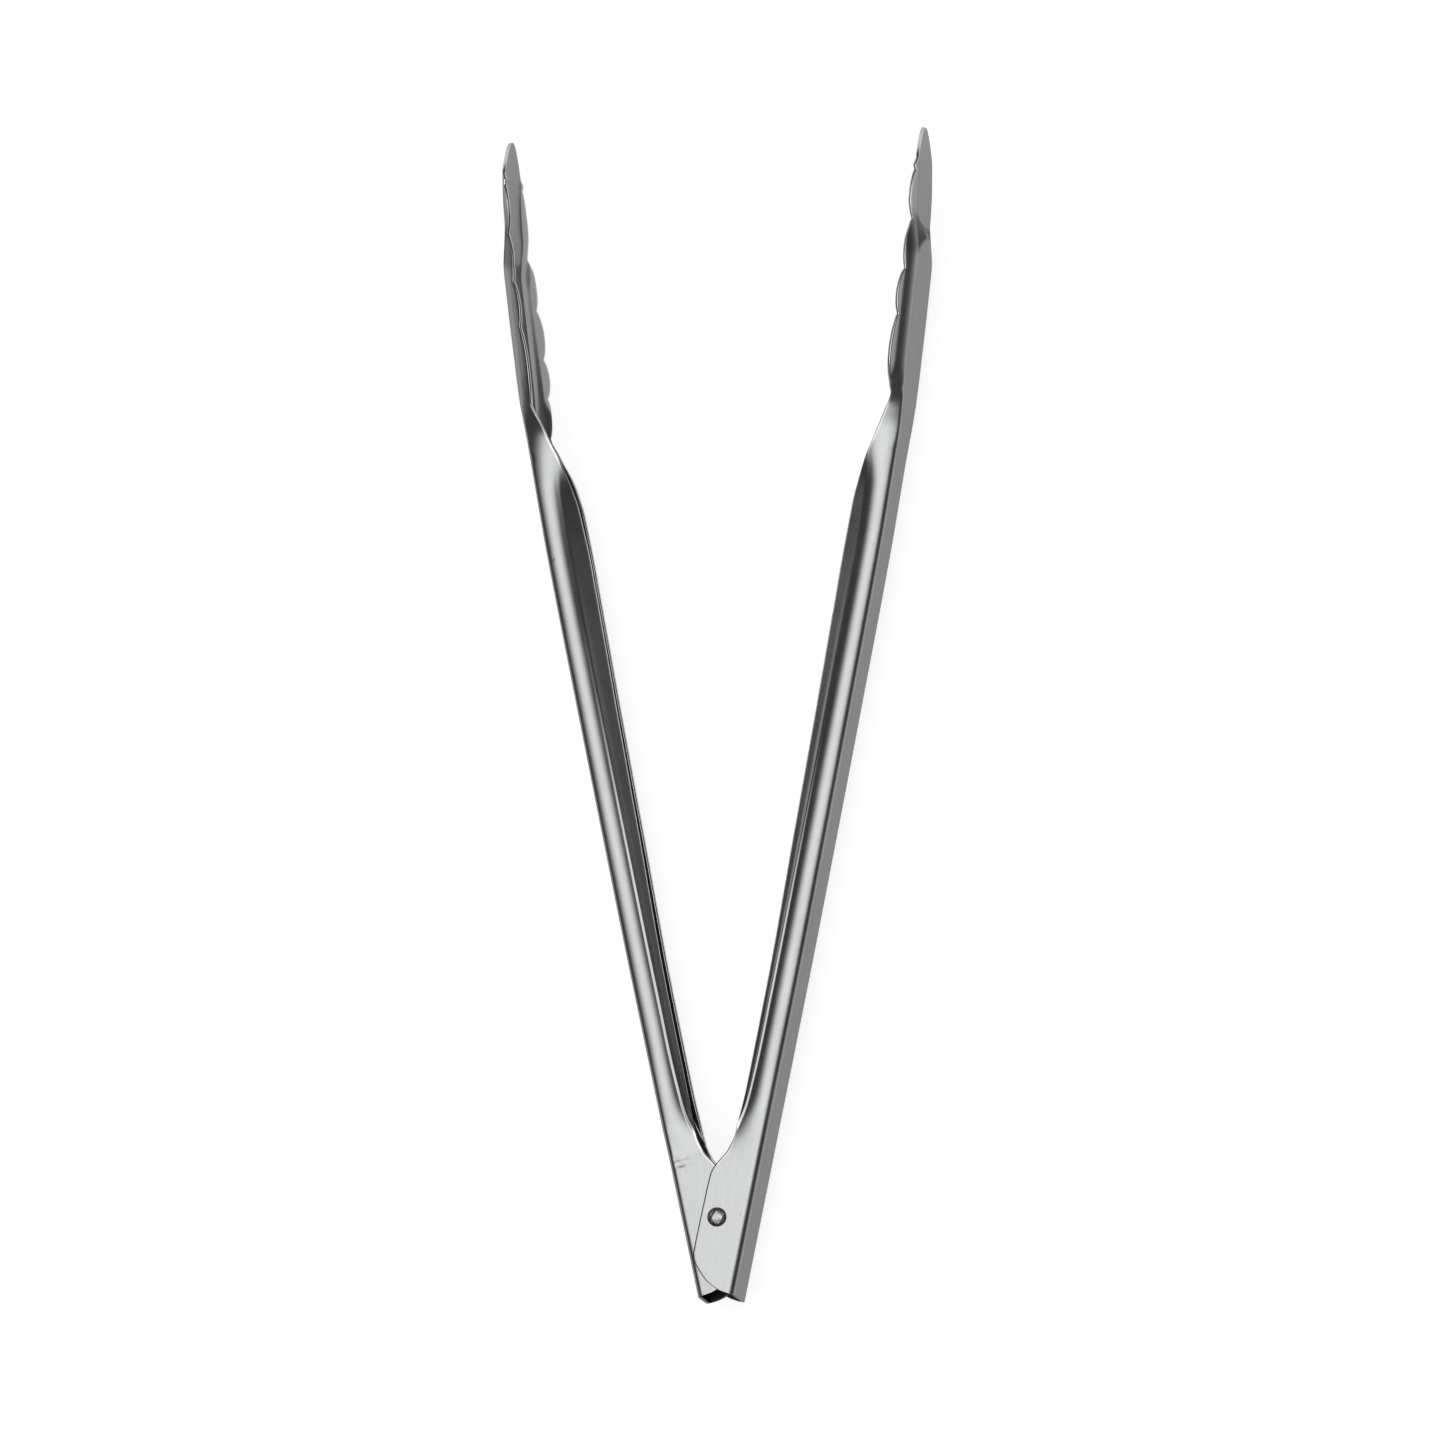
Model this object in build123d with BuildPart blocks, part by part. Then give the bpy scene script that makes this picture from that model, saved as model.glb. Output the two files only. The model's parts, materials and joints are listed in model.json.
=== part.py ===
from build123d import *
import os
from collections import namedtuple
from math import asin, atan, cos, degrees, pi, radians, sin, sqrt

os.makedirs("parts", exist_ok=True)

# Spring loaded kitchen tongs, lying on their side and open. The pivot pin stands along Z, +Y runs from
# the pivot to the jaws and the two arms open to -X and +X. Everything is in millimetres, and is drawn
# with the middle of the pin at the origin.

# ---- driving dimensions ----
sheet = 0.9  # thickness of the pressed steel sheet
arm_half_width = 8.5  # half the width of an arm, measured along the pin
ear_gap = 0.12  # air between an inner ear and the outer ear it lies in
ear_length = 18.5  # from the pin down to the end of the web
ear_depth = 12.5  # how far an ear reaches inward from the web
arm_depth = 11.3  # web to inner edge where the arm is deepest
heel_depth = 8.0  # web to inner edge just above the ears
tip_reach = 284.0  # from the pin to the jaw tip, along the arm
jaw_half_width = 17.4  # half the width of a jaw at its edges
notch_walls = (3.0, 2.8, 2.4, 0.8, 0.5)  # wall left standing at the neck and at each notch after it
scallop_rise = 0.85  # how far a scallop stands above its notches
scallop_start = 214.0  # where the first scallop begins
first_scallop = 18.6  # its length
scallop_pitch = 12.8  # the length of each of the others
last_scallop_back = 6.0  # from the tip back to the middle of the last scallop
last_scallop_wall = 1.5  # wall standing there
tip_start = 255.0  # where the jaw begins to round off, along the arm
wall_flare = 0.04  # share of the lip's flare that the side wall has already taken
web_corner_shift = 0.4  # how far the inside of the web narrows, as a share of the thickness
spare = 4.0  # how far the trimming outlines run past the metal
trim_depth = 30.0  # how far the trimming outlines are extruded to each side

outer_web_distance = 8.4  # pin axis to the back of the outer arm's web
inner_web_distance = 9.15  # pin axis to the back of the inner arm's web
outer_lean = 11.5  # degrees from Y to the outer arm at the open stop
inner_lean = 11.85  # and to the inner arm

pin_radius = 1.5
pin_hole_outer = 1.52  # the rivet is tight in the outer arm
pin_hole_inner = 1.56  # and free in the inner arm
rivet_head_radius = 2.45
rivet_head_height = 1.1

wire_radius = 0.65  # spring wire
coil_radius = 3.6  # to the middle of the wire
coil_turns = 5
coil_pitch = 1.4  # rise of the coil in one turn
leg_length = 36.0  # each straight leg
leg_gap = 0.15  # air between a spring leg and the web it presses on

# One cross-section of an arm. u is the distance along the arm from the pin and web the height of the
# back above the straight line of the arm. flat is the half-width of the back, corner the size of the bend
# beside it and side the half-width above the bend. The side wall ends at crease, and a lip runs on
# from there to the height top and the half-width rim.
Station = namedtuple("Station", "u web flat corner side crease top rim")

ear_top = ear_depth + 1.5
lip_top = arm_depth + 1.2

# The trimmed edge of an arm in its side view, as (distance along the arm, height above the web's back).
ear_end = ((-ear_length, 0.0), (-ear_length + 0.2, 2.6), (-ear_length + 0.9, 5.2))
ear_corner = (ear_end[-1], (-16.1, 8.0), (-12.6, 11.3), (-9.6, ear_depth))
ear_shoulder = (
    (10.6, ear_depth - 0.2),
    (13.8, ear_depth - 1.6),
    (17.2, 8.9),
    (22.0, heel_depth - 0.2),
    (28.0, heel_depth),
)
arm_edge = (
    (60.0, heel_depth),
    (130.0, arm_depth - 1.3),
    (176.0, arm_depth),
    (188.0, arm_depth - 0.3),
    (197.5, arm_depth - 1.7),
    (204.0, arm_depth - 3.3),
)
# Half of the rounded tip in the front view, as (distance along the arm, half-width).
tip_round = ((261.0, 16.4), (273.0, 12.6), (281.0, 6.6))


def arm_stations(ear_side):
    """The cross-sections of an arm whose ears have the half-width ear_side."""
    w = arm_half_width
    return [
        Station(-ear_length - 1, 0.0, ear_side - 0.8, 0.8, ear_side, 7.0, ear_top, ear_side),
        Station(17.0, 0.0, ear_side - 0.9, 0.9, ear_side, 6.4, ear_top, ear_side),
        Station(25.0, 0.0, w - 1.2, 1.2, w, 5.6, ear_top, w - 1.2),
        Station(40.0, 0.0, w - 1.8, 1.8, w, 4.3, lip_top, w - 3.6),
        Station(100.0, 0.3, w - 2.2, 2.2, w, 4.6, lip_top, w - 3.4),
        Station(175.0, 1.0, w - 2.2, 2.2, w, 5.2, lip_top, w - 3.0),
        Station(195.0, 1.7, w - 2.0, 2.0, w, 5.0, 9.5, w - 0.4),
        Station(206.0, 2.1, w - 1.4, 1.4, w + 0.2, 3.0, 7.5, w + 0.8),
        Station(214.0, 2.6, 10.6, 0.7, 11.6, 1.6, 4.8, 13.6),
        Station(222.0, 3.3, 12.6, 0.5, 13.6, 1.4, 4.4, jaw_half_width - 0.4),
        Station(236.0, 4.5, 13.0, 0.5, 14.0, 1.4, 4.4, jaw_half_width + 0.4),
        Station(255.0, 6.2, 12.8, 0.4, 13.8, 1.2, 4.4, jaw_half_width + 0.2),
        Station(260.5, 8.2, 12.4, 0.3, 13.4, 0.9, 3.0, jaw_half_width - 0.6),
        Station(272.0, 10.1, 11.4, 0.3, 12.3, 0.8, 3.0, jaw_half_width - 1.8),
        Station(tip_reach + 1, 12.6, 9.5, 0.3, 10.5, 0.8, 3.0, jaw_half_width - 4.0),
    ]


def arm_plane(side, u):
    """The plane across an arm at the distance u, with its X pointing inward from the web's back."""
    lean = radians(outer_lean if side > 0 else inner_lean)
    distance = outer_web_distance if side > 0 else inner_web_distance
    along = Vector(side * sin(lean), cos(lean), 0)
    inward = Vector(-side * cos(lean), sin(lean), 0)
    return Plane(origin=along * u - inward * distance, x_dir=inward, z_dir=along)


def side_plane(side):
    """The plane of an arm's side view: X runs along the arm, Y inward from the web's back."""
    across = arm_plane(side, 0)
    return Plane(origin=across.origin, x_dir=across.z_dir, z_dir=across.z_dir.cross(across.x_dir))


def half_points(s, inset):
    """The corners of half a cross-section, moved inward by inset."""
    back = [(s.web, s.flat), (s.web + s.corner, s.side)]
    wall = [(s.web + s.crease, s.side + (s.rim - s.side) * wall_flare), (s.web + s.top, s.rim)]
    points = back + wall
    if inset == 0:
        return points
    lines = []
    for (v0, w0), (v1, w1) in zip(points, points[1:]):
        length = sqrt((v1 - v0) ** 2 + (w1 - w0) ** 2)
        shift_v = inset * (w1 - w0) / length
        shift_w = -inset * (v1 - v0) / length
        lines.append(((v0 + shift_v, w0 + shift_w), (v1 + shift_v, w1 + shift_w)))
    start = (s.web + inset, s.flat - inset * web_corner_shift)
    lines.insert(0, ((s.web + inset, 0), start))
    return [meet(*a, *b) for a, b in zip(lines, lines[1:])] + [lines[-1][1]]


def meet(a, b, c, d):
    """Where the line through a and b crosses the line through c and d."""
    ab = (b[0] - a[0], b[1] - a[1])
    cd = (d[0] - c[0], d[1] - c[1])
    ac = (c[0] - a[0], c[1] - a[1])
    turn = ab[0] * cd[1] - ab[1] * cd[0]
    if abs(turn) < 1e-9:
        return b
    t = (ac[0] * cd[1] - ac[1] * cd[0]) / turn
    return (a[0] + ab[0] * t, a[1] + ab[1] * t)


def section(side, s, inset):
    """A closed cross-section of the outside of the sheet, or of its inside when inset is the thickness."""
    near = half_points(s, inset)
    far = [(v, -w) for v, w in reversed(near)]
    with BuildSketch(arm_plane(side, s.u)) as sketch:
        with BuildLine():
            Polyline(*near, *far, close=True)
        make_face()
    return sketch.sketch


def side_outline(side):
    """The side view of a whole arm: ear, inner edge, neck and scalloped jaw, as one closed face."""
    neck = (scallop_start, web_height(scallop_start) + notch_walls[0])
    with BuildSketch(side_plane(side)) as sketch:
        with BuildLine():
            Line((-ear_length, -spare), ear_end[0])
            ThreePointArc(*ear_end)
            Spline(*ear_corner, tangents=((0.5, 1), (1, 0.1)))
            Line(ear_corner[-1], ear_shoulder[0])
            Spline(*ear_shoulder, tangents=((1, 0), (1, 0)))
            Line(ear_shoulder[-1], arm_edge[0])
            Spline(*arm_edge, neck, tangents=((1, 0), (1, -0.2)))
            start = neck
            for k, wall in enumerate(notch_walls[1:]):
                end_u = scallop_start + first_scallop + scallop_pitch * k
                end = (end_u, web_height(end_u) + wall)
                middle = ((start[0] + end[0]) / 2, (start[1] + end[1]) / 2 + scallop_rise)
                ThreePointArc(start, middle, end)
                start = end
            tip = (tip_reach, web_height(tip_reach) + sheet)
            last_u = tip_reach - last_scallop_back
            ThreePointArc(start, (last_u, web_height(last_u) + last_scallop_wall), tip)
            Line(tip, (tip_reach, -spare))
            Line((tip_reach, -spare), (-ear_length, -spare))
        make_face()
    return sketch.sketch


def web_height(u):
    """Height of the web's back above the arm's straight line at the distance u."""
    known = arm_stations(arm_half_width)
    for a, b in zip(known, known[1:]):
        if a.u <= u <= b.u:
            return a.web + (b.web - a.web) * (u - a.u) / (b.u - a.u)
    return known[-1].web


def front_outline(side):
    """The front view of the jaw end, which rounds the tip off."""
    reach = jaw_half_width + spare
    heel = -ear_length - spare
    across = arm_plane(side, 0)
    front = Plane(origin=across.origin, x_dir=across.z_dir, z_dir=across.x_dir)
    with BuildSketch(front) as sketch:
        with BuildLine():
            Polyline((tip_start, -reach), (heel, -reach), (heel, reach), (tip_start, reach))
            other_half = [(u, -w) for u, w in reversed(tip_round)]
            outline = [(tip_start, reach), *tip_round, (tip_reach, 0), *other_half, (tip_start, -reach)]
            Spline(*outline, tangents=((0, -1), (0, -1)))
        make_face()
    return sketch.sketch


def build_arm(side, ear_side, hole_radius):
    """One pressed arm. side is 1 for the arm at +X and -1 for the arm at -X."""
    stations = arm_stations(ear_side)
    with BuildPart() as arm:
        loft(sections=[section(side, s, 0) for s in stations], ruled=True)
        loft(sections=[section(side, s, sheet) for s in stations], ruled=True, mode=Mode.SUBTRACT)
        extrude(side_outline(side), amount=trim_depth, both=True, mode=Mode.INTERSECT)
        extrude(front_outline(side), amount=trim_depth, both=True, mode=Mode.INTERSECT)
        with Locations((0, 0, 0)):
            Cylinder(hole_radius, 4 * arm_half_width, mode=Mode.SUBTRACT)
    return arm.part


def leg_angle(lean, web_distance):
    """The angle from Y of the spring leg that lies along one arm and touches its web at its end."""
    reach = web_distance - sheet - leg_gap - wire_radius
    slant = asin(reach / sqrt(leg_length**2 + coil_radius**2)) - atan(coil_radius / leg_length)
    return lean + degrees(slant)


# ---- arms ----
outer_arm = build_arm(1, arm_half_width, pin_hole_outer)
inner_arm = build_arm(-1, arm_half_width - sheet - ear_gap, pin_hole_inner)

# ---- pivot rivet: a shank through all four ears with a domed head on each side ----
crown = arm_half_width + rivet_head_height
dome_radius = (rivet_head_height**2 + rivet_head_radius**2) / (2 * rivet_head_height)
half_dome = asin(rivet_head_radius / dome_radius) / 2
shoulder = (dome_radius * sin(half_dome), crown - dome_radius * (1 - cos(half_dome)))
with BuildPart() as rivet:
    Cylinder(pin_radius, 2 * arm_half_width)
    with BuildSketch(Plane.XZ):
        with BuildLine():
            Polyline((rivet_head_radius, arm_half_width), (0, arm_half_width), (0, crown))
            ThreePointArc((0, crown), shoulder, (rivet_head_radius, arm_half_width))
        make_face()
    revolve(axis=Axis.Z)
    mirror(about=Plane.XY)

# ---- spring: a coil round the rivet with one leg along the inside of each arm ----
outer_leg = leg_angle(outer_lean, outer_web_distance)
inner_leg = leg_angle(inner_lean, inner_web_distance)
first_angle = radians(180 + inner_leg)
last_angle = radians(360 * coil_turns - outer_leg)
coil_height = coil_pitch * (last_angle - first_angle) / (2 * pi)
coil = Helix(pitch=coil_pitch, height=coil_height, radius=coil_radius, center=(0, 0, -coil_height / 2))
coil = coil.rotate(Axis.Z, degrees(first_angle))
with BuildPart() as spring:
    with BuildLine() as wire:
        Line(coil @ 0 - (coil % 0) * leg_length, coil @ 0)
        add(coil)
        Line(coil @ 1, coil @ 1 + (coil % 1) * leg_length)
    with BuildSketch(Plane(origin=wire.line @ 0, z_dir=wire.line % 0)):
        Circle(wire_radius)
    sweep(path=wire.line, is_frenet=True)

# ---- move the origin from the pin to the middle of the underside, and write the parts ----
pieces = {
    "outer_arm": outer_arm,
    "inner_arm": inner_arm,
    "pivot_rivet": rivet.part,
    "torsion_spring": spring.part,
}
box = outer_arm.bounding_box().add(inner_arm.bounding_box())
underside = Vector((box.min.X + box.max.X) / 2, (box.min.Y + box.max.Y) / 2, box.min.Z)
for name, piece in pieces.items():
    placed = piece.moved(Location(-underside))
    placed.label = name
    export_step(placed, f"parts/{name}.step")
print("pin axis at", [round(c, 4) for c in (-underside)])
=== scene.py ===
import json
from math import asin, atan, cos, pi, radians, sin, sqrt

import bmesh
import bpy
import numpy as np
from mathutils import Matrix, Vector


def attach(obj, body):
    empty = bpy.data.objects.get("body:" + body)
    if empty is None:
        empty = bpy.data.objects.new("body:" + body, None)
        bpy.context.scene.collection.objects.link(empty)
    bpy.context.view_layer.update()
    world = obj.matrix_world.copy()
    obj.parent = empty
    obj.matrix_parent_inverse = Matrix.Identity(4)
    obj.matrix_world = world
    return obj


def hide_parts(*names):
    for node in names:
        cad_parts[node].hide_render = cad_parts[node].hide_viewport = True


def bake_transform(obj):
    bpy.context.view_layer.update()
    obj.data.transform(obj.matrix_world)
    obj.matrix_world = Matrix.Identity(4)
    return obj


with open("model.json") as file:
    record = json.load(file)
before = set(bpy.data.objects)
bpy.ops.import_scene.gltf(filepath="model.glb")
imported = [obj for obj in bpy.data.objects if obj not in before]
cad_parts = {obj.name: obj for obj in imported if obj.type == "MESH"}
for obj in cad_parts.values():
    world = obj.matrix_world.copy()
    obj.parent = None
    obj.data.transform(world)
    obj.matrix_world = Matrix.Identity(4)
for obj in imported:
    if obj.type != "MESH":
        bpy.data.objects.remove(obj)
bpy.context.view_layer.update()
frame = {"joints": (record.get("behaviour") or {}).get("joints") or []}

# Spring loaded kitchen tongs, lying on their side and open. The pivot pin stands along Z and the jaws point
# to +Y. Shapes are worked out in millimetres from the middle of the pin.
MM = 0.001
PIN = Vector(frame["joints"][0]["pos_m"])
SHEET = 0.9  # thickness of the pressed sheet
HALF_WIDTH = 8.5  # half the width of an arm, along the pin

# side: 1 opens to +X and -1 to -X. ear: half-width across the arm's two ears. lean: degrees from Y.
# distance: from the pin's axis to the back of the web.
ARMS = {
    "outer": {"side": 1, "ear": HALF_WIDTH, "lean": 11.5, "distance": 8.4},
    "inner": {"side": -1, "ear": 7.48, "lean": 11.85, "distance": 9.15},
}


# ---------------------------------------------------------------- small tools
def smooth(t):
    """A soft step from 0 to 1."""
    t = np.clip(t, 0.0, 1.0)
    return t * t * (3 - 2 * t)


def curve(points):
    """A smooth function through the points that never overshoots between them."""
    x = np.array([p[0] for p in points], float)
    y = np.array([p[1] for p in points], float)
    h = np.diff(x)
    d = np.diff(y) / h
    m = np.zeros_like(y)
    m[0], m[-1] = d[0], d[-1]
    for k in range(1, len(x) - 1):
        if d[k - 1] * d[k] > 0:
            a, b = 2 * h[k] + h[k - 1], h[k] + 2 * h[k - 1]
            m[k] = (a + b) / (a / d[k - 1] + b / d[k])

    def value(u):
        u = np.asarray(u, float)
        k = np.clip(np.searchsorted(x, u) - 1, 0, len(h) - 1)
        t = np.clip((u - x[k]) / h[k], 0, 1)
        return (
            y[k] * (1 + 2 * t) * (1 - t) ** 2
            + h[k] * m[k] * t * (1 - t) ** 2
            + y[k + 1] * t * t * (3 - 2 * t)
            + h[k] * m[k + 1] * t * t * (t - 1)
        )

    return value


def add_mesh(name, points, faces, uv=None, marks=None):
    """A smooth-shaded object with one UV map and any number of named values at its points."""
    mesh = bpy.data.meshes.new(name)
    mesh.from_pydata([tuple(p) for p in points], [], faces)
    mesh.validate()
    mesh.update()
    mesh.polygons.foreach_set("use_smooth", [True] * len(mesh.polygons))
    if uv is not None:
        layer = mesh.uv_layers.new(name="UVMap")
        index = np.zeros(len(mesh.loops), np.int64)
        mesh.loops.foreach_get("vertex_index", index)
        layer.data.foreach_set("uv", np.asarray(uv)[index].ravel())
    for label, values in (marks or {}).items():
        layer = mesh.attributes.new(label, "FLOAT", "POINT")
        layer.data.foreach_set("value", np.asarray(values, float))
    piece = bpy.data.objects.new(name, mesh)
    bpy.context.scene.collection.objects.link(piece)
    return piece


def merge(piece):
    """Joins the points that lie in one place and turns all faces outward."""
    bm = bmesh.new()
    bm.from_mesh(piece.data)
    bmesh.ops.remove_doubles(bm, verts=bm.verts, dist=1e-6)
    bmesh.ops.recalc_face_normals(bm, faces=bm.faces)
    bm.to_mesh(piece.data)
    bm.free()
    for polygon in piece.data.polygons:
        polygon.use_smooth = True


# ---------------------------------------------------------------- side view of an arm
# u runs along the arm from the pin, v inward from the back of the web, w along the pin. The near half of an
# arm is at +w and the far half at -w.
ARM_START, ARM_STOP = -18.5, 283.94
JAW_START = 214.0
TIP_START = 255.0  # where the jaw begins to round off

# Height of the web's back.
WEB = curve([
    (-25, 0), (60, 0), (100, 0.25), (136, 0.6), (175, 1.1), (195, 1.75), (212, 2.5), (226, 3.7),
    (236, 4.55), (248, 5.65), (255, 6.33), (257, 6.5), (261.5, 7.0), (268, 7.9), (275, 9.2), (285, 11.2),
])
# Height of the trimmed edge: the ear, then the inner edge of the arm down to the neck.
EDGE = curve([
    (-18.5, 0.02), (-18.4, 1.6), (-18.05, 4.0), (-17.4, 5.7), (-16.1, 8.0), (-14.4, 9.8), (-12.4, 11.5),
    (-11.0, 12.2), (-9.4, 12.5), (-4, 12.45), (10.2, 12.2), (11.8, 11.85), (13.8, 10.9), (17.2, 9.0),
    (22, 8.0), (28, 8.0), (60, 8.15), (100, 9.2), (130, 10.0), (160, 10.9), (176, 11.3), (186, 11.2), (191, 10.7),
    (197.5, 9.6), (204, 8.0), (209, 6.8), (214, 5.6), (285, 14),
])
# Half-width of the rounded tip.
TIP = curve([
    (255, 19), (261, 17.2), (266, 15.6), (270, 14.0), (275, 11.4), (279, 8.2), (281.5, 5.6), (283.2, 3.0),
    (283.8, 1.6), (284.0, 0.5),
])
# Height of the jaw's walls at the notches between scallops.
WALL = curve([
    (200, 3.3), (214, 3.0), (233, 2.8), (245, 2.4), (252, 1.8), (258.5, 0.8), (271, 0.45), (284, 0.6),
])
NOTCHES = {
    "near": (JAW_START, 233.5, 245.4, 258.5, 271.0, 284.0),
    "far": (208.5, 219.5, 230.0, 243.0, 256.0, 273.5, 284.0),
}
LOBE = 0.85  # how far a scallop stands above its notches
LOBE_FULLNESS = 0.75  # below 1, a scallop is rounder than a parabola
LAST_LOBE = 0.6  # how much lower the last scallop is
NECK_START, NECK_LENGTH = 190.0, 20.0  # where the far edge starts to run ahead of the near one

JAW_EDGE = 14.0  # half-width of a jaw's web
RISER_HEIGHT = 1.55  # how far the tip steps inward
RISER_START, RISER_STOP = 254.8, 260.0  # the step in the middle of the jaw
RISER_START_BOW, RISER_STOP_BOW = 8.5, 3.2  # how far it bends back and forward at the jaw's edges


def riser_part(u, w):
    """How much of the step of the tip lies behind a place, from 0 to 1. It crosses the jaw in a curve."""
    reach = np.abs(w) / JAW_EDGE
    start = RISER_START - RISER_START_BOW * np.power(reach, 1.6)
    stop = RISER_STOP + RISER_STOP_BOW * reach**2
    return smooth((u - start) / (stop - start))


def edge_height(u, which):
    """Height at which the sheet is trimmed, on the near or the far half."""
    notches = NOTCHES[which]
    if u < notches[0]:
        lead = JAW_START - notches[0]
        return float(EDGE(u + lead * smooth((u - NECK_START) / NECK_LENGTH)))
    last = len(notches) - 2
    k = min(int(np.searchsorted(notches, u, side="right")) - 1, last)
    t = (u - notches[k]) / (notches[k + 1] - notches[k])
    lobe = LOBE * max(4 * t * (1 - t), 0.0) ** LOBE_FULLNESS * (LAST_LOBE if k == last else 1.0)
    return float(WEB(u) + RISER_HEIGHT * riser_part(u, JAW_EDGE) + WALL(u) + lobe)


# ---------------------------------------------------------------- cross-section of an arm
HALF_POINTS = 58  # steps across half a cross-section
OUTSIDE = 2 * HALF_POINTS + 1  # points on the outside of the sheet, and as many inside
RIM = ((0.14, 0.10), (0.5, 0.15), (0.86, 0.10))  # the rounded rim: share of the thickness, bulge
STEP = 0.04  # step of the summing along a section
LONGEST = 34.0  # longest half section
BEAD_WIDTH = 0.35  # each of the two slopes of the crease's bead
LIP_BEND = 1.5  # length over which the lip straightens after the crease


class Shape:
    """How the cross-section of one arm changes along it: lengths in millimetres, turns in degrees.

    From its middle outward, half a section is a flat web, a rounded corner, a curved flange, a small raised
    bead, a crease and a lip. The ridge turns the crease a little too far, and the bend softens it.
    """

    def __init__(self, side, ear):
        w = HALF_WIDTH
        sharp = 0.0 if side > 0 else 0.7  # the inner arm has a tighter bend beside its web
        late = 5.0 if side > 0 else 0.0  # the outer arm keeps its channel further into the neck
        flare = -14 if side > 0 else 4  # turn at the rim of the near jaw wall
        self.flat = curve([
            (-25, ear - 2.2 + sharp), (16.5, ear - 2.2 + sharp), (26, w - 2.3 + sharp), (40, 6.2 + sharp),
            (60, 6.1 + sharp), (170, 6.1 + sharp), (196, 6.3 + sharp), (205, 7.2), (210, 8.4), (216, 10.2),
            (223, 11.0), (236, 11.3), (256, 11.3), (265, 11.4), (285, 11.2),
        ])
        # how much narrower the web of the far half is
        self.far_trim = curve([(-25, 0), (206, 0), (218, 1.5), (285, 1.5)])
        self.corner = curve([
            (-25, 2.2 - sharp), (20, 2.2 - sharp), (60, 2.0 - sharp), (195, 1.9 - sharp), (208, 1.3),
            (222, 1.2), (285, 1.2),
        ])
        corner_turn = [(-25, 89), (17, 89), (30, 80), (50, 72), (170, 71), (198, 72)]
        near_corner = [(206 + late, 66), (213 + late * 0.5, 48), (222, 37), (255, 36), (264, 26), (285, 24)]
        far_corner = [(206, 62), (213, 42), (222, 31), (285, 24)]
        self.corner_turn = {
            "near": curve(corner_turn + near_corner),
            "far": curve(corner_turn + far_corner),
        }
        self.flange = curve([
            (-25, 15), (14, 12), (19, 7.2), (24, 5.4), (30, 4.6), (42, 4.4), (60, 4.5), (170, 4.4),
            (190, 4.5), (199, 5.4), (206, 6.4), (214, 3.6), (220, 2.2), (285, 2.2),
        ])
        flange_turn = [
            (-25, 1), (16, 2), (25, 22), (34, 40), (45, 44), (60, 45), (170, 46), (190, 40), (200, 26),
        ]
        near_flange = [(210, 22), (218, 13), (255, 13), (264, 10), (285, 8)]
        far_flange = [(210, 18), (218, 15), (285, 12)]
        self.flange_turn = {
            "near": curve(flange_turn + near_flange),
            "far": curve(flange_turn + far_flange),
        }
        lip_turn = [
            (-25, 0), (18, 0), (23, 12), (30, 18), (45, 18), (60, 17), (170, 15), (190, 12), (199, 3),
            (206, 0), (213, 0),
        ]
        self.lip_turn = {
            "near": curve(lip_turn + [(219, flare), (285, flare)]),
            "far": curve(lip_turn + [(219, -14), (285, -14)]),
        }
        self.ridge = curve([
            (-25, 0), (22, 0), (28, 14), (60, 16), (105, 12), (150, 4), (180, 0), (285, 0),
        ])
        self.bead = curve([
            (-25, 0), (20, 0), (25, 28), (60, 28), (105, 16), (140, 5), (165, 0), (285, 0),
        ])
        self.bend = curve([(-25, 0.4), (60, 0.4), (110, 0.7), (180, 1.6), (285, 1.6)])

    def headings(self, u, which):
        """Where the section turns, the heading at each such place, and where the crease is."""
        corner = radians(float(self.corner_turn[which](u)))
        wall = corner + radians(float(self.flange_turn[which](u)))
        lip = wall + radians(float(self.lip_turn[which](u)))
        flat = float(self.flat(u)) - (float(self.far_trim(u)) if which == "far" else 0.0)
        bent = flat + float(self.corner(u)) * corner
        flange = bent + float(self.flange(u))
        crest = flange + BEAD_WIDTH
        crease = crest + BEAD_WIDTH + float(self.bend(u)) * 0.6
        top = wall - radians(float(self.bead(u)))
        places = [0, flat, bent, flange, crest, crest + BEAD_WIDTH, crease, crease + LIP_BEND, LONGEST + 6]
        turns = [0, 0, corner, wall, top, top, lip + radians(float(self.ridge(u))), lip, lip]
        return places, turns, crest

    def outline(self, u, which):
        """The outside of half the cross-section at u: v, w, heading and the length along it."""
        s = np.arange(0, LONGEST, STEP)
        places, turns, crest = self.headings(u, which)
        heading = np.interp(s, places, turns)
        v = np.concatenate([[0], np.cumsum(np.sin(heading[:-1]) * STEP)])
        w = np.concatenate([[0], np.cumsum(np.cos(heading[:-1]) * STEP)])
        v = v + WEB(u) + RISER_HEIGHT * riser_part(u, w)
        beyond = v > edge_height(u, which)
        if u > TIP_START:
            beyond |= w > float(TIP(u))
        stop = max(int(np.argmax(beyond)) if beyond.any() else len(s) - 1, 2)
        # five times as many points on the crease as elsewhere
        travel = np.cumsum(1 + 4 * np.exp(-(((s - crest) / 0.9) ** 2)))
        where = np.interp(np.linspace(travel[0], travel[stop], HALF_POINTS + 1), travel, s)
        return np.interp(where, s, v), np.interp(where, s, w), np.interp(where, s, heading), where


def wrinkles(u, v, side, which):
    """Small folds that the pinching of the inner arm's ears leaves beside its web."""
    total = np.zeros_like(v)
    if side > 0 or which == "far":
        return total
    # place along the arm, slant, depth
    folds = [(14.4, 0.22, 0.10), (15.5, -0.10, 0.14), (16.4, 0.12, 0.12), (17.5, -0.22, 0.08)]
    for place, slant, depth in folds:
        uneven = 0.6 + 0.4 * np.sin(v * 2.1 + place)
        total += depth * np.exp(-(((u - place - slant * v) / 0.27) ** 2)) * uneven
    return total * smooth((v - 0.3) / 1.0) * (1 - smooth((v - 3.4) / 2.4))


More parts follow.
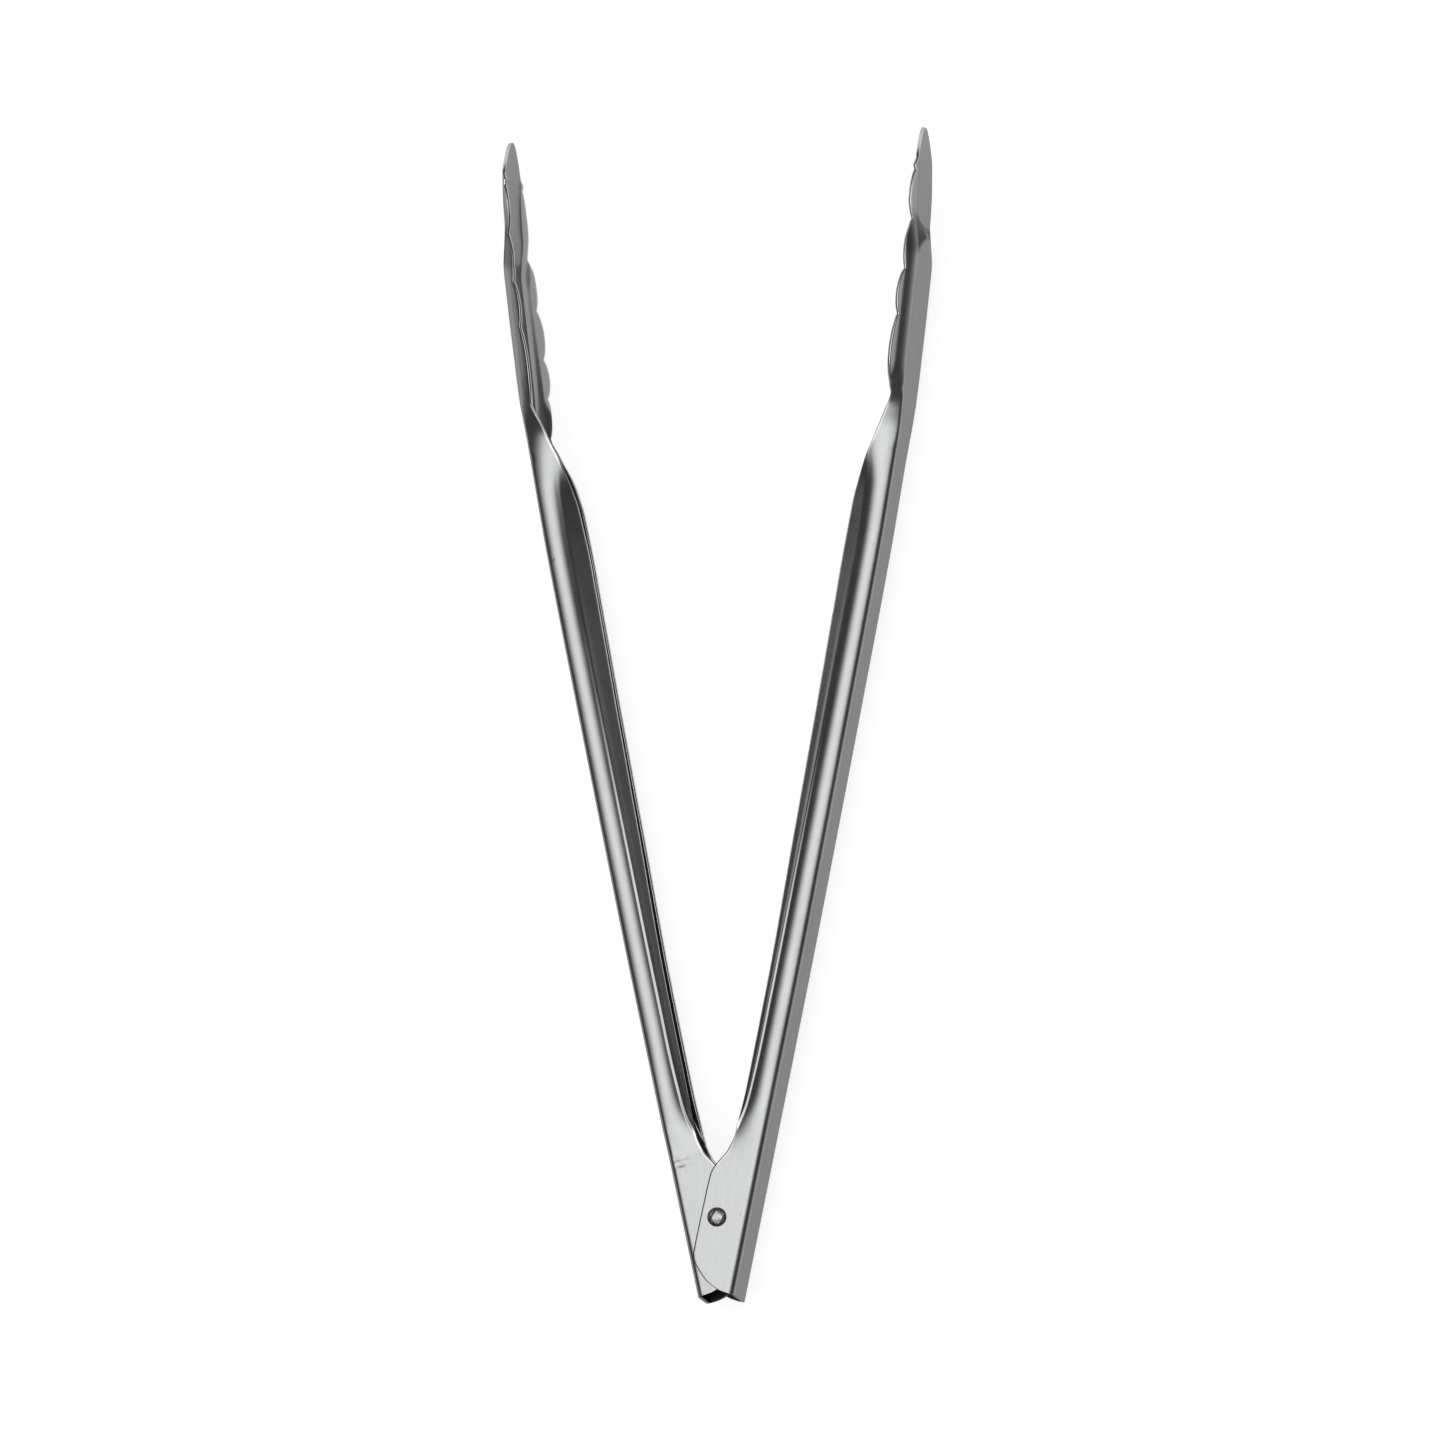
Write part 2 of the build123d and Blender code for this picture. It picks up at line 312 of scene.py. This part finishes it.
def half_section(shape, u, side, which):
    """Half of the sheet's section: its outside, inside and rim as (v, w), and the length along it."""
    v, w, heading, length = shape.outline(u, which)
    normal = np.stack([np.cos(heading), -np.sin(heading)], 1)
    outside = np.stack([v, w], 1) + wrinkles(u, v, side, which)[:, None] * normal
    inside = outside + SHEET * normal
    ahead = np.array([sin(heading[-1]), cos(heading[-1])])
    rim = np.array([outside[-1] + (inside[-1] - outside[-1]) * f + ahead * b for f, b in RIM])
    sign = 1 if which == "near" else -1
    flip = np.array([1.0, sign])
    return outside * flip, inside * flip, rim * flip, length * sign


# ---------------------------------------------------------------- an arm as one closed sheet
def rows_along():
    """Where the cross-sections of an arm are taken: close together where its outline turns fast."""
    parts = [
        ARM_START + 9.1 * np.linspace(0, 1, 44) ** 1.9,
        np.arange(-9.0, 9.0, 1.2),
        np.arange(9.0, 30.0, 0.35),
        np.arange(30.0, 60.0, 1.0),
        np.arange(60.0, 180.0, 2.0),
        np.arange(180.0, 205.0, 0.7),
        np.arange(205.0, 282.0, 0.42),
        ARM_STOP - 2.0 * (1 - np.linspace(0, 1, 16)) ** 1.8,
    ]
    return np.unique(np.round(np.concatenate(parts), 4))


WEAR_REACH = 0.45  # how far the polish of a rim reaches
EAR_PAINTED_SHADE = 0.95  # painted shade inside the ears, below the pin
RISER_PAINTED_SHADE = 0.6  # strength of the painted shade on the tip's step


def painted_edge_shade(u, side, from_rim, near):
    """A line of painted shade along the near rim: under the inner arm's jaw, and in the gap beside the outer ear.
    """
    line = np.zeros_like(from_rim)
    if side < 0:
        jaw = smooth((u - JAW_START) / 4.0) * (1 - smooth((u - 262.0) / 6.0))
        line = jaw * np.exp(-(((from_rim - 0.35) / 0.3) ** 2)) * near
        line[OUTSIDE:OUTSIDE + 2] = 0.9 * jaw, 0.45 * jaw
    elif u < 13:
        dark = 0.7 + 0.3 * smooth((-5.0 - u) / 6.0)
        line = dark * np.exp(-((from_rim / 0.5) ** 2)) * near
        line[OUTSIDE:OUTSIDE + len(RIM)] = dark
    return line


def surface_marks(u, side, ring, length, ends):
    """The wear and the painted shade at the points of one section. ends are the lengths at its two rims."""
    near = length > 0
    from_rim = np.where(near, ends[0] - length, length - ends[1])
    index = np.arange(len(ring))
    near_rim = (index >= OUTSIDE) & (index < OUTSIDE + len(RIM))
    line = painted_edge_shade(u, side, from_rim, near)
    part = riser_part(u, ring[:, 1])
    riser_shade = RISER_PAINTED_SHADE * np.minimum(8 * part * (1 - part), 1.0)
    ear_shade = EAR_PAINTED_SHADE * smooth((-3.0 - u) / 9.0)
    # Painted shade: on the outside the dark step of the tip and the line beside the rim; on the rim and the
    # inside, the shade in the ears and the rim line.
    painted_shade_and_stain = np.where(index < OUTSIDE, np.maximum(riser_shade, line), np.maximum(ear_shade, line * near_rim))
    return np.exp(-from_rim / WEAR_REACH), painted_shade_and_stain


def sheet_faces(rows, count, flip):
    """Faces between neighbouring sections and over the two cut ends of the sheet."""
    faces = []
    for i in range(rows - 1):
        for j in range(count):
            a, b = i * count + j, i * count + (j + 1) % count
            face = (a, b, b + count, a + count)
            faces.append(face[::-1] if flip else face)
    inside = OUTSIDE + len(RIM)
    for base, order in ((0, -1), ((rows - 1) * count, 1)):
        last = base + inside + OUTSIDE - 1
        for j in range(OUTSIDE - 1):
            faces.append((base + j, base + j + 1, last - j - 1, last - j)[::order])
        near_rim = tuple(base + OUTSIDE - 1 + k for k in range(len(RIM) + 2))
        far_rim = tuple(last + k for k in range(len(RIM) + 1)) + (base,)
        faces += [near_rim[::order], far_rim[::order]]
    return faces


def build_arm(name, side, ear, lean, distance):
    """One pressed arm as a closed sheet with a rounded rim."""
    lean = radians(lean)
    along = np.array([side * sin(lean), cos(lean), 0.0])
    inward = np.array([-side * cos(lean), sin(lean), 0.0])
    upward = np.array([0, 0, 1.0])
    pin = np.array(PIN) / MM
    shape = Shape(side, ear)
    rows = rows_along()
    points, uv, wear, painted_shade_and_stain = [], [], [], []
    for u in rows:
        near, near_in, near_rim, near_s = half_section(shape, u, side, "near")
        far, far_in, far_rim, far_s = half_section(shape, u, side, "far")
        ring = np.concatenate([far[:0:-1], near, near_rim, near_in[:0:-1], far_in, far_rim[::-1]])
        near_end, far_end = near_s[-1], far_s[-1]
        length = np.concatenate([
            far_s[:0:-1], near_s, [near_end] * len(RIM), near_s[:0:-1], far_s, [far_end] * len(RIM),
        ])
        place = pin + along * u - inward * distance
        points.append((place + inward * ring[:, :1] + upward * ring[:, 1:]) * MM)
        uv.append(np.stack([length, np.full_like(length, u)], 1) * MM * UV_SCALE)
        row_wear, row_painted_shade = surface_marks(u, side, ring, length, (near_end, far_end))
        wear.append(row_wear)
        painted_shade_and_stain.append(row_painted_shade)
    faces = sheet_faces(len(rows), len(points[0]), side < 0)
    # the second mark is painted shade
    marks = {"wear": np.concatenate(wear), "painted_shade_and_stain": np.concatenate(painted_shade_and_stain)}
    return add_mesh(name, np.concatenate(points), faces, np.concatenate(uv), marks)


# ---------------------------------------------------------------- rivet
HEAD_RADIUS, HEAD_HEIGHT, SHANK_RADIUS = 2.45, 1.1, 1.5
HEAD_BAND = 0.16  # the upright edge of a head
HEAD_STEPS, RIVET_TURNS = 12, 72


def hammer_mark(x, y):
    """How far the hammered crown of a head stands out or in."""
    broad = 0.05 * sin(2.6 * x + 1.3) * sin(2.2 * y - 0.9) + 0.03 * sin(5.3 * x - 2.6 * y)
    return broad + 0.02 * sin(9.0 * x + 4.0 * y) - 0.08 * np.exp(-((x - 0.3) ** 2 + (y + 0.9) ** 2) / 0.4)


def rivet_shade_and_stain(x, y, r):
    """Painted shade on the lower side of a head, broken up by blotches, a dark ring round it and faint dark
    blotches all over.
    """
    blotch = 0.5 + 0.5 * sin(4.1 * x + 1.0) * sin(3.3 * y + 2.2 * x)
    low = smooth((-y - 0.1) / 1.1) * (0.35 + 0.65 * blotch)
    return float(max(low, smooth((r - 2.1) / 0.3)) * 0.9 + 0.3 * blotch)


def build_rivet():
    """A shank with two peened heads, each with a slightly hammered crown."""
    profile = [(0.0, HALF_WIDTH + HEAD_HEIGHT)]
    for k in range(1, HEAD_STEPS + 1):
        angle = k / HEAD_STEPS * pi / 2
        dome = (HEAD_HEIGHT - HEAD_BAND) * cos(angle) ** 0.9
        profile.append((HEAD_RADIUS * sin(angle), HALF_WIDTH + HEAD_BAND + dome))
    profile += [
        (HEAD_RADIUS, HALF_WIDTH + 0.02),
        (HEAD_RADIUS - 0.25, HALF_WIDTH - 0.02),
        (SHANK_RADIUS, HALF_WIDTH - 0.03),
    ]
    ring = profile + [(r, -z) for r, z in reversed(profile)]
    points, faces, uv, painted_shade_and_stain = [], [], [], []
    for i, (r, z) in enumerate(ring):
        for k in range(RIVET_TURNS):
            a = 2 * pi * k / RIVET_TURNS
            x, y = r * cos(a), r * sin(a)
            dent = hammer_mark(x, y) if abs(z) > HALF_WIDTH + 0.2 else 0.0
            height = z + (dent if z > 0 else -dent)
            points.append((PIN.x + x * MM, PIN.y + y * MM, PIN.z + height * MM))
            uv.append((a / (2 * pi), i / len(ring)))
            # painted shade on the lower side of the head, with dark blotches and a dark ring
            painted_shade_and_stain.append(rivet_shade_and_stain(x, y, r))
    for i in range(len(ring) - 1):
        for k in range(RIVET_TURNS):
            a, b = i * RIVET_TURNS + k, i * RIVET_TURNS + (k + 1) % RIVET_TURNS
            faces.append((a, a + RIVET_TURNS, b + RIVET_TURNS, b))
    piece = add_mesh("rivet", points, faces, uv, {"painted_shade_and_stain": painted_shade_and_stain})
    merge(piece)
    return piece


# ---------------------------------------------------------------- spring
WIRE = 0.65  # radius of the wire
COIL = 3.6  # to the middle of the wire
TURNS, COIL_PITCH = 5, 1.4
LEG, LEG_GAP = 36.0, 0.15  # length of a leg, and the air between it and the web
COIL_STEPS, LEG_STEPS, WIRE_TURNS = 240, 24, 20
CAP = (0.0, 0.55, 0.85)  # sizes of the rings that round off the wire's ends
CAP_HEIGHT = 0.6  # height of a rounded end, as a share of the wire's radius
AROUND_WIRE = 0.04  # UV units once round the wire


def leg_angle(arm):
    """The angle from Y of the leg that lies along an arm, with its end close to the arm's web."""
    reach = arm["distance"] - SHEET - LEG_GAP - WIRE
    return radians(arm["lean"]) + asin(reach / sqrt(LEG**2 + COIL**2)) - atan(COIL / LEG)


def coil_direction(angle):
    """The direction of the wire where the coil has turned to the angle."""
    ahead = np.array([-COIL * sin(angle), COIL * cos(angle), COIL_PITCH / (2 * pi)])
    return ahead / np.linalg.norm(ahead)


def spring_path():
    """The middle of the wire: a leg, the coil and the other leg. Also the height of the coil."""
    first = pi + leg_angle(ARMS["inner"])
    last = 2 * pi * TURNS - leg_angle(ARMS["outer"])
    height = COIL_PITCH * (last - first) / (2 * pi)
    coil = []
    for k in range(COIL_STEPS + 1):
        a = first + (last - first) * k / COIL_STEPS
        coil.append(np.array([COIL * cos(a), COIL * sin(a), -height / 2 + height * k / COIL_STEPS]))
    start, stop = -coil_direction(first), coil_direction(last)
    lower = [coil[0] + start * LEG * (1 - k / LEG_STEPS) for k in range(LEG_STEPS)]
    upper = [coil[-1] + stop * LEG * (k + 1) / LEG_STEPS for k in range(LEG_STEPS)]
    return lower + coil + upper, height


def build_spring():
    """The spring as a round wire with rounded ends, and the height of its coil."""
    path, height = spring_path()
    end = len(path) - 1
    stations = [(0, size) for size in CAP] + [(i, 1.0) for i in range(len(path))]
    stations += [(end, size) for size in reversed(CAP)]
    up = np.array([0, 0, 1.0])
    points, faces, uv = [], [], []
    length = 0.0
    for n, (i, size) in enumerate(stations):
        before, after = path[max(i - 1, 0)], path[min(i + 1, end)]
        ahead = (after - before) / np.linalg.norm(after - before)
        across = np.cross(ahead, up)
        across /= np.linalg.norm(across)
        top = np.cross(across, ahead)
        cap = sqrt(1 - size * size) * WIRE * CAP_HEIGHT
        centre = path[i] + ahead * (cap if n > len(stations) / 2 else -cap)
        for k in range(WIRE_TURNS):
            a = 2 * pi * k / WIRE_TURNS
            x, y, z = centre + (across * cos(a) + top * sin(a)) * WIRE * size
            points.append((PIN.x + x * MM, PIN.y + y * MM, PIN.z + z * MM))
            uv.append((k / WIRE_TURNS * AROUND_WIRE, length * MM * UV_SCALE))
        length += np.linalg.norm(after - before) / 2
    for n in range(len(stations) - 1):
        for k in range(WIRE_TURNS):
            a, b = n * WIRE_TURNS + k, n * WIRE_TURNS + (k + 1) % WIRE_TURNS
            faces.append((a, b, b + WIRE_TURNS, a + WIRE_TURNS))
    piece = add_mesh("spring", points, faces, uv)
    merge(piece)
    return piece, height


# ---------------------------------------------------------------- materials
UV_SCALE = 10.0  # UV units in a metre of sheet or wire
SPECK_COLOUR = (0.12, 0.12, 0.125, 1.0)
WORN_COLOUR = (0.86, 0.87, 0.87, 1.0)
EDGE_TINT, SHADE_AND_STAIN_EDGE_TINT = (0.5, 0.5, 0.5, 1.0), (0.1, 0.1, 0.1, 1.0)  # reflection at a low angle; the darker one goes with the painted shade and the rivet's blotches


class Nodes:
    """Short ways to add the nodes of one material."""

    def __init__(self, material):
        material.use_nodes = True
        self.nodes, self.links = material.node_tree.nodes, material.node_tree.links
        self.shader = self.nodes["Principled BSDF"]

    def noise(self, vector, scale, detail):
        node = self.nodes.new("ShaderNodeTexNoise")
        node.inputs["Scale"].default_value = scale
        node.inputs["Detail"].default_value = detail
        node.inputs["Roughness"].default_value = 0.55
        self.links.new(vector, node.inputs["Vector"])
        return node.outputs["Fac"]

    def stretch(self, vector, x, y):
        node = self.nodes.new("ShaderNodeMapping")
        node.inputs["Scale"].default_value = (x, y, 1.0)
        self.links.new(vector, node.inputs["Vector"])
        return node.outputs["Vector"]

    def attribute(self, name):
        node = self.nodes.new("ShaderNodeAttribute")
        node.attribute_name = name
        return node.outputs["Fac"]

    def remap(self, value, low, high, to_low, to_high):
        node = self.nodes.new("ShaderNodeMapRange")
        node.inputs["From Min"].default_value = low
        node.inputs["From Max"].default_value = high
        node.inputs["To Min"].default_value = to_low
        node.inputs["To Max"].default_value = to_high
        self.links.new(value, node.inputs["Value"])
        return node.outputs["Result"]

    def mix(self, share, a, b):
        node = self.nodes.new("ShaderNodeMix")
        node.data_type = "RGBA"
        self.links.new(share, node.inputs["Factor"])
        for name, value in (("A", a), ("B", b)):
            socket = [s for s in node.inputs if s.name == name and s.type == "RGBA"][0]
            if isinstance(value, tuple):
                socket.default_value = value
            else:
                self.links.new(value, socket)
        return [s for s in node.outputs if s.type == "RGBA"][0]

    def maths(self, kind, a, b):
        node = self.nodes.new("ShaderNodeMath")
        node.operation = kind
        for socket, value in zip(node.inputs, (a, b)):
            if isinstance(value, (int, float)):
                socket.default_value = value
            else:
                self.links.new(value, socket)
        return node.outputs["Value"]


def shade(tone, factor):
    return tuple(c * factor for c in tone) + (1.0,)


def steel(name, tone, rough, grain, speck, bump):
    """Satin stainless steel: fine grain along the sheet, faint clouding, a few specks, bright edges and painted
    shade where the mesh marks it.
    """
    material = bpy.data.materials.new(name)
    make = Nodes(material)
    shader = make.shader
    shader.inputs["Metallic"].default_value = 1.0
    flat = make.nodes.new("ShaderNodeUVMap")
    flat.uv_map = "UVMap"
    place = make.nodes.new("ShaderNodeTexCoord").outputs["Object"]
    streak = make.noise(make.stretch(flat.outputs["UV"], grain, grain * 0.012), 1.0, 4.0)
    cloud = make.noise(place, 55.0, 3.0)
    fine = make.noise(place, 1400.0, 2.0)
    spots = make.noise(place, 620.0, 0.0)
    wear, painted_shade_and_stain = make.attribute("wear"), make.attribute("painted_shade_and_stain")

    colour = make.mix(make.remap(cloud, 0.3, 0.7, 0.0, 1.0), shade(tone, 0.92), shade(tone, 1.07))
    colour = make.mix(make.remap(streak, 0.35, 0.65, 0.0, 0.35), colour, shade(tone, 0.9))
    colour = make.mix(make.remap(spots, speck, speck + 0.03, 0.0, 0.7), colour, SPECK_COLOUR)
    colour = make.mix(make.remap(wear, 0.2, 1.0, 0.0, 0.45), colour, WORN_COLOUR)
    # darker where the mesh marks painted shade, and at the rivet's dark blotches
    colour = make.mix(make.remap(painted_shade_and_stain, 0.1, 0.9, 0.0, 0.8), colour, shade(tone, 0.25))
    make.links.new(colour, shader.inputs["Base Color"])
    # weaker reflection at low angles where shade is painted, and at the rivet's blotches
    edge_tint = make.mix(make.remap(painted_shade_and_stain, 0.1, 0.9, 0.0, 1.0), EDGE_TINT, SHADE_AND_STAIN_EDGE_TINT)
    make.links.new(edge_tint, shader.inputs["Specular Tint"])

    by_grain = make.remap(streak, 0.3, 0.7, rough - 0.05, rough + 0.06)
    roughness = make.maths("ADD", by_grain, make.remap(cloud, 0.3, 0.7, -0.02, 0.03))
    roughness = make.maths("SUBTRACT", roughness, make.remap(wear, 0.2, 1.0, 0.0, 0.06))
    make.links.new(roughness, shader.inputs["Roughness"])

    height = make.maths("ADD", make.maths("MULTIPLY", streak, 0.7), make.maths("MULTIPLY", fine, 0.25))
    relief = make.nodes.new("ShaderNodeBump")
    relief.inputs["Strength"].default_value = bump
    relief.inputs["Distance"].default_value = 0.00004
    make.links.new(height, relief.inputs["Height"])
    make.links.new(relief.outputs["Normal"], shader.inputs["Normal"])
    return material


def finish_piece(piece, material, body, slot, *nodes):
    """Gives a piece its material, the CAD nodes it stands for and the body it rides on. The slot is not used."""
    piece.data.materials.clear()
    piece.data.materials.append(material)
    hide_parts(*nodes)
    if body:
        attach(piece, body)


# ---------------------------------------------------------------- floor, light and camera
FLOOR_HALF_SIZE = 5.0
# Brightness of the room by the height of the direction, from level (0) to straight up (1).
ROOM = [
    (0.0, 0.5), (0.10, 0.42), (0.25, 0.12), (0.69, 0.12), (0.80, 0.42), (0.885, 1.35), (0.945, 2.4),
    (1.0, 2.9),
]
TOWARD_CAMERA = (0.163, -0.163, 0.973)  # a little to the right of the pin axis and a little below it
AIM_ABOVE_PIN = 127.4
FRAME_WIDTH = 0.3659  # what the picture spans, in metres


def build_floor():
    """A pale sheet of paper that glows a little, so that it stays white under the tongs."""
    s = FLOOR_HALF_SIZE
    floor = add_mesh("floor", [(-s, -s, 0), (s, -s, 0), (s, s, 0), (-s, s, 0)], [(0, 1, 2, 3)])
    paper = bpy.data.materials.new("pale_paper")
    shader = Nodes(paper).shader
    shader.inputs["Base Color"].default_value = (0.45, 0.45, 0.45, 1)
    shader.inputs["Roughness"].default_value = 0.9
    shader.inputs["Specular IOR Level"].default_value = 0.1
    shader.inputs["Emission Color"].default_value = (1, 1, 1, 1)
    shader.inputs["Emission Strength"].default_value = 0.76
    floor.data.materials.append(paper)


def light_room():
    """A studio with a large soft light overhead, dark walls and a dim band near the floor."""
    world = bpy.data.worlds.new("studio")
    bpy.context.scene.world = world
    world.use_nodes = True
    nodes, links = world.node_tree.nodes, world.node_tree.links
    direction = nodes.new("ShaderNodeTexCoord")
    split = nodes.new("ShaderNodeSeparateXYZ")
    ramp = nodes.new("ShaderNodeValToRGB")
    links.new(direction.outputs["Generated"], split.inputs["Vector"])
    links.new(split.outputs["Z"], ramp.inputs["Fac"])
    elements = ramp.color_ramp.elements
    elements[0].position, elements[1].position = ROOM[0][0], ROOM[-1][0]
    elements[0].color, elements[1].color = (ROOM[0][1],) * 3 + (1,), (ROOM[-1][1],) * 3 + (1,)
    for position, level in ROOM[1:-1]:
        elements.new(position).color = (level, level, level, 1)
    links.new(ramp.outputs["Color"], nodes["Background"].inputs["Color"])


def place_camera():
    """A long lens from far away, so that the view is almost without perspective."""
    toward_camera = Vector(TOWARD_CAMERA).normalized()
    up = (Vector((0, 1, 0)) - toward_camera * toward_camera.y).normalized()
    lens = bpy.data.cameras.new("camera")
    lens.lens = 400.0
    lens.sensor_width = 36.0
    lens.clip_end = 50.0
    camera = bpy.data.objects.new("camera", lens)
    bpy.context.scene.collection.objects.link(camera)
    target = PIN + Vector((0.0, AIM_ABOVE_PIN, 0.0)) * MM
    camera.location = target + toward_camera * (lens.lens / lens.sensor_width * FRAME_WIDTH)
    camera.rotation_euler = Matrix((up.cross(toward_camera), up, toward_camera)).transposed().to_euler()
    bpy.context.scene.camera = camera
    bpy.context.scene.view_settings.view_transform = "Standard"


# ---------------------------------------------------------------- put the scene together
arm_steel = steel("satin_steel", (0.268, 0.272, 0.272), 0.22, 900.0, 0.87, 0.2)
rivet_steel = steel("peened_steel", (0.3, 0.305, 0.305), 0.2, 60.0, 0.8, 0.9)
spring_steel = steel("spring_wire", (0.3, 0.305, 0.31), 0.3, 300.0, 0.78, 0.4)

for key, arm in ARMS.items():
    sheet = build_arm(key + "_arm_sheet", **arm)
    finish_piece(sheet, arm_steel, key + "_half", "pressed_steel", key + "_arm")

finish_piece(build_rivet(), rivet_steel, "outer_half", "rivet_steel", "pivot_rivet")

spring, coil_height = build_spring()
finish_piece(spring, spring_steel, None, "spring_steel", "torsion_spring")
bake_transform(spring)

build_floor()
light_room()
place_camera()
